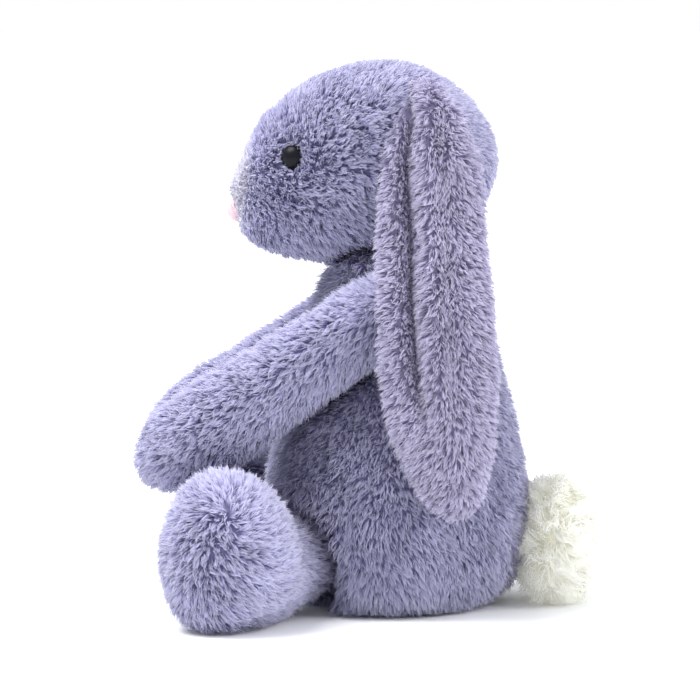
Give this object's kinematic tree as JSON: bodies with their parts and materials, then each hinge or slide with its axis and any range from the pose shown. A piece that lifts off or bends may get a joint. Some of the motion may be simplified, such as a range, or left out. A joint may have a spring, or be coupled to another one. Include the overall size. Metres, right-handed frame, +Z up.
{
  "type": "stuffed bunny rabbit",
  "caption": "Seated plush rabbit with long drooping ears, rounded paws and feet, a fluffy cream tail and a soft weighted body.",
  "frame": {"origin": "on the floor, under the middle of the bounding box", "axes": "+Z up, -Y towards the rabbit's nose, +X towards the rabbit's own left"},
  "size_m": [0.1648, 0.1647, 0.1971],
  "materials": {
    "fur_lilac": "long soft plush pile, lilac grey",
    "fur_lining": "soft plush pile on the inner face of the ears, lilac grey",
    "fur_cream": "long fluffy cream pile",
    "stuffing": "white polyester fibre filling",
    "pouch_cotton": "plain woven cotton",
    "pellets": "small translucent plastic pellets",
    "eye_black": "glossy black",
    "washer_plastic": "natural nylon",
    "nose_pink": "pale pink satin stitching",
    "thread": "lilac grey sewing thread"
  },
  "bodies": {
    "torso": {"belly_panel": "fur_lilac", "back_panel_left": "fur_lilac", "back_panel_right": "fur_lilac", "body_stuffing": "stuffing", "pellet_pouch_upper": "pouch_cotton", "pellet_pouch_base": "pouch_cotton", "pellet_fill": "pellets", "tail_seam": "thread"},
    "neck_seam": {"neck_seam": "thread"},
    "head": {"head_gusset": "fur_lilac", "head_side_left": "fur_lilac", "head_side_right": "fur_lilac", "head_stuffing": "stuffing", "nose": "nose_pink", "eye_left": "eye_black", "eye_right": "eye_black", "eye_washer_left": "washer_plastic", "eye_washer_right": "washer_plastic"},
    "tail": {"tail_cover": "fur_cream", "tail_stuffing": "stuffing"},
    "shoulder_seam_left": {"shoulder_seam_left": "thread"},
    "arm_left": {"arm_left_outer": "fur_lilac", "arm_left_inner": "fur_lilac", "arm_left_stuffing": "stuffing"},
    "hip_seam_left": {"hip_seam_left": "thread"},
    "leg_left": {"leg_left_outer": "fur_lilac", "leg_left_inner": "fur_lilac", "leg_left_stuffing": "stuffing"},
    "ear_seam_left": {"ear_seam_left": "thread"},
    "ear_left": {"ear_left_outer": "fur_lilac", "ear_left_lining": "fur_lining"},
    "shoulder_seam_right": {"shoulder_seam_right": "thread"},
    "arm_right": {"arm_right_outer": "fur_lilac", "arm_right_inner": "fur_lilac", "arm_right_stuffing": "stuffing"},
    "hip_seam_right": {"hip_seam_right": "thread"},
    "leg_right": {"leg_right_outer": "fur_lilac", "leg_right_inner": "fur_lilac", "leg_right_stuffing": "stuffing"},
    "ear_seam_right": {"ear_seam_right": "thread"},
    "ear_right": {"ear_right_outer": "fur_lilac", "ear_right_lining": "fur_lining"}
  },
  "joints": [
    {"name": "neck_turn", "type": "hinge", "parent": "torso", "child": "neck_seam", "pos_m": [0, 0.012, 0.11], "axis": [0, 0, 1], "range_deg": [-18, 18]},
    {"name": "neck_nod", "type": "hinge", "parent": "neck_seam", "child": "head", "pos_m": [0, 0.012, 0.11], "axis": [-1, 0, 0], "range_deg": [-10, 10]},
    {"name": "tail_wag", "type": "hinge", "parent": "torso", "child": "tail", "pos_m": [0, 0.0574, 0.022], "axis": [0, 0, 1], "range_deg": [-10, 10]},
    {"name": "arm_left_spread", "type": "hinge", "parent": "torso", "child": "shoulder_seam_left", "pos_m": [0.036, 0.008, 0.109], "axis": [-0.7596, -0.3139, 0.5697], "range_deg": [0, 20]},
    {"name": "arm_left_raise", "type": "hinge", "parent": "shoulder_seam_left", "child": "arm_left", "pos_m": [0.036, 0.008, 0.109], "axis": [-1, 0, 0], "range_deg": [0, 50]},
    {"name": "leg_left_splay", "type": "hinge", "parent": "torso", "child": "hip_seam_left", "pos_m": [0.024, -0.0245, 0.02], "axis": [0, 0, 1], "range_deg": [0, 10]},
    {"name": "leg_left_dangle", "type": "hinge", "parent": "hip_seam_left", "child": "leg_left", "pos_m": [0.024, -0.0245, 0.02], "axis": [0.5592, 0.829, 0], "range_deg": [0, 20]},
    {"name": "ear_left_lift", "type": "hinge", "parent": "head", "child": "ear_seam_left", "pos_m": [0.0285, 0.022, 0.186], "axis": [0, -1, 0], "range_deg": [0, 90]},
    {"name": "ear_left_swing", "type": "hinge", "parent": "ear_seam_left", "child": "ear_left", "pos_m": [0.0285, 0.022, 0.186], "axis": [1, 0, 0], "range_deg": [-6, 25]},
    {"name": "arm_right_spread", "type": "hinge", "parent": "torso", "child": "shoulder_seam_right", "pos_m": [-0.036, 0.008, 0.109], "axis": [-0.7596, 0.3139, -0.5697], "range_deg": [0, 20]},
    {"name": "arm_right_raise", "type": "hinge", "parent": "shoulder_seam_right", "child": "arm_right", "pos_m": [-0.036, 0.008, 0.109], "axis": [-1, 0, 0], "range_deg": [0, 50]},
    {"name": "leg_right_splay", "type": "hinge", "parent": "torso", "child": "hip_seam_right", "pos_m": [-0.024, -0.0245, 0.02], "axis": [0, 0, -1], "range_deg": [0, 10]},
    {"name": "leg_right_dangle", "type": "hinge", "parent": "hip_seam_right", "child": "leg_right", "pos_m": [-0.024, -0.0245, 0.02], "axis": [0.5592, -0.829, 0], "range_deg": [0, 20]},
    {"name": "ear_right_lift", "type": "hinge", "parent": "head", "child": "ear_seam_right", "pos_m": [-0.0285, 0.022, 0.186], "axis": [0, 1, 0], "range_deg": [0, 90]},
    {"name": "ear_right_swing", "type": "hinge", "parent": "ear_seam_right", "child": "ear_right", "pos_m": [-0.0285, 0.022, 0.186], "axis": [1, 0, 0], "range_deg": [-6, 25]}
  ]
}
